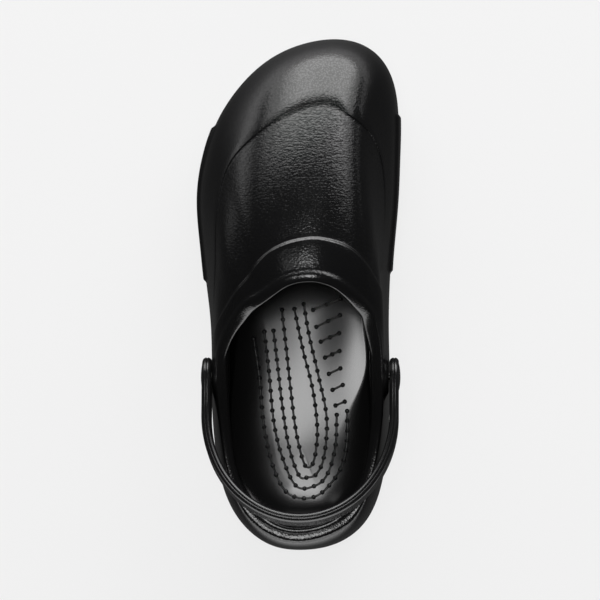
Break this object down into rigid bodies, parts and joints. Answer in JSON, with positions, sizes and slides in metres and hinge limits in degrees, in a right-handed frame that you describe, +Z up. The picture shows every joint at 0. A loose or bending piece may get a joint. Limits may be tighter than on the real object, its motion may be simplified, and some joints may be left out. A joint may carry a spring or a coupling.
{
  "type": "chef clog",
  "caption": "Left work clog of moulded foam with a closed toe, collar band, thick rim and riveted heel strap.",
  "frame": {"origin": "middle of the shoe's box in plan, on the floor that the tread rests on", "axes": "+Y toward the toe, +X toward the medial side of a left foot, +Z up"},
  "size_m": [0.1167, 0.2904, 0.1032],
  "materials": {
    "foam": "satin, fine grain",
    "strap_foam": "smooth satin",
    "rivet_plastic": "semi-gloss"
  },
  "bodies": {
    "root": {"upper_sole_shell": "foam", "heel_strap": "strap_foam", "rivet_cap_medial": "rivet_plastic", "rivet_cap_lateral": "rivet_plastic", "rivet_washer_medial": "rivet_plastic", "rivet_washer_lateral": "rivet_plastic"}
  },
  "joints": []
}
